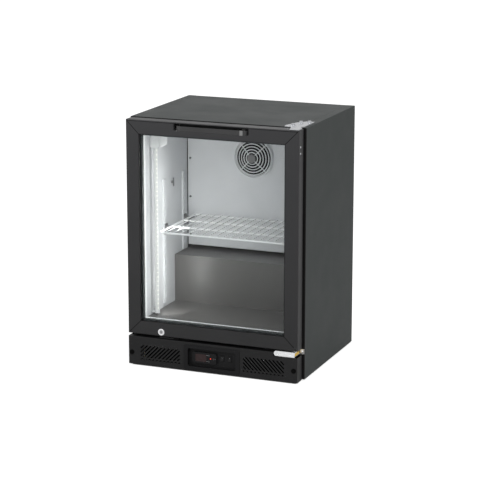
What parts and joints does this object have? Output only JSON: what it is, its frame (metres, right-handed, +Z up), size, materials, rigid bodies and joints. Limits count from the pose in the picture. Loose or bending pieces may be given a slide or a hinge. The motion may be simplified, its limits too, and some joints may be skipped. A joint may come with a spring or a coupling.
{
  "type": "under counter fridge",
  "caption": "Glass-door under-counter fridge: insulated cabinet on glides, hinged locking door, wire shelf, lit fan-cooled interior, vented kick plate with controls, condensing unit inside.",
  "frame": {"origin": "on the floor under the middle of the overall box", "axes": "+Z up; the door faces -Y and is hinged on the +X side"},
  "size_m": [0.6, 0.52, 0.8235],
  "materials": {
    "casing_paint": "satin",
    "front_paint": "satin",
    "bay_black": "matte",
    "plug_black": "matte",
    "door_frame": "satin black paint on extruded bars",
    "foam": "rigid polyurethane foam",
    "trim_white": "satin",
    "liner": "satin",
    "floor_liner": "gloss",
    "fins": "mill",
    "black_plastic": "matte",
    "bracket_plastic": "matte",
    "guard_wire": "plastic coated wire",
    "lamp_glow": "diffuser",
    "shelf_coating": "plastic coated wire",
    "compressor_paint": "gloss",
    "motor_metal": "satin",
    "copper": "copper tube",
    "zinc": "bright zinc plate",
    "screw_steel": "black passivated",
    "cam_yellow": "satin",
    "keeper_paint": "satin",
    "controller_face": "satin",
    "display": "tinted window",
    "key_plastic": "matte",
    "rocker_plastic": "gloss",
    "glass": "float glass",
    "spacer": "mill",
    "gasket_rubber": "matte",
    "handle_plastic": "gloss",
    "lock_chrome": "polished",
    "plug_metal": "satin",
    "bush_nylon": "matte"
  },
  "bodies": {
    "cabinet": {"side_panel_left": "casing_paint", "side_panel_right": "casing_paint", "top_panel": "casing_paint", "back_panel": "casing_paint", "rear_grille": "casing_paint", "kick_plate": "front_paint", "front_rail": "front_paint", "base_pan": "bay_black", "kick_plate_plugs": "plug_black", "foam_insulation": "foam", "breaker_strips": "trim_white", "lamp_holders": "trim_white", "liner_left": "liner", "liner_right": "liner", "liner_top": "liner", "liner_back": "liner", "evaporator_cover": "liner", "shelf_rails": "liner", "liner_floor": "floor_liner", "evaporator_coil": "fins", "condenser_coil": "fins", "evaporator_fan_motor": "black_plastic", "cord_gland": "black_plastic", "glides": "black_plastic", "control_bezel": "black_plastic", "switch_housings": "black_plastic", "drain_pan": "black_plastic", "shelf_brackets": "bracket_plastic", "fan_guard": "guard_wire", "lamp_tube": "lamp_glow", "compressor": "compressor_paint", "condenser_fan_motor": "motor_metal", "refrigerant_pipes": "copper", "hinge_plate_top": "zinc", "hinge_bolts": "zinc", "hinge_bracket_bottom": "zinc", "panel_screws": "screw_steel", "hinge_cam_block": "cam_yellow", "lock_keeper": "keeper_paint", "controller": "controller_face", "display_window": "display"},
    "door": {"door_stile_left": "door_frame", "door_stile_right": "door_frame", "door_rail_top": "door_frame", "door_rail_bottom": "door_frame", "glass_panes": "glass", "glass_spacer": "spacer", "door_gasket": "gasket_rubber", "door_handle": "handle_plastic", "lock_barrel": "lock_chrome", "hinge_bushes": "bush_nylon"},
    "lock": {"lock_cam": "plug_metal"},
    "shelf": {"shelf": "shelf_coating"},
    "evaporator_rotor": {"evaporator_fan": "black_plastic"},
    "condenser_rotor": {"condenser_fan": "black_plastic"},
    "up_key": {"button_up": "key_plastic"},
    "down_key": {"button_down": "key_plastic"},
    "set_key": {"button_set": "key_plastic"},
    "power_switch": {"power_rocker": "rocker_plastic"},
    "light_switch": {"light_rocker": "rocker_plastic"}
  },
  "joints": [
    {"name": "door_hinge", "type": "hinge", "parent": "cabinet", "child": "door", "pos_m": [0.2765, -0.233, 0.46], "axis": [0, 0, 1], "range_deg": [0, 110], "stiffness_Nm_per_rad": 1.6, "springref_deg": -17.19},
    {"name": "lock_turn", "type": "hinge", "parent": "door", "child": "lock", "pos_m": [-0.1755, -0.24, 0.123], "axis": [0, 1, 0], "range_deg": [0, 90]},
    {"name": "shelf_lift", "type": "slide", "parent": "cabinet", "child": "shelf", "axis": [0, 0, 1], "range_m": [0, 0.04]},
    {"name": "evaporator_fan_spin", "type": "hinge", "parent": "cabinet", "child": "evaporator_rotor", "pos_m": [-0.0175, 0.17, 0.636], "axis": [0, 1, 0], "continuous": true},
    {"name": "condenser_fan_spin", "type": "hinge", "parent": "cabinet", "child": "condenser_rotor", "pos_m": [-0.185, -0.125, 0.052], "axis": [0, 1, 0], "continuous": true},
    {"name": "up_press", "type": "slide", "parent": "cabinet", "child": "up_key", "axis": [0, 1, 0], "range_m": [0, 0.0006], "stiffness_N_per_m": 300},
    {"name": "down_press", "type": "slide", "parent": "cabinet", "child": "down_key", "axis": [0, 1, 0], "range_m": [0, 0.0006], "stiffness_N_per_m": 300},
    {"name": "set_press", "type": "slide", "parent": "cabinet", "child": "set_key", "axis": [0, 1, 0], "range_m": [0, 0.0006], "stiffness_N_per_m": 300},
    {"name": "power_rock", "type": "hinge", "parent": "cabinet", "child": "power_switch", "pos_m": [0.032, -0.245, 0.0535], "axis": [1, 0, 0], "range_deg": [0, 16]},
    {"name": "light_rock", "type": "hinge", "parent": "cabinet", "child": "light_switch", "pos_m": [0.058, -0.245, 0.0535], "axis": [1, 0, 0], "range_deg": [0, 16]}
  ]
}
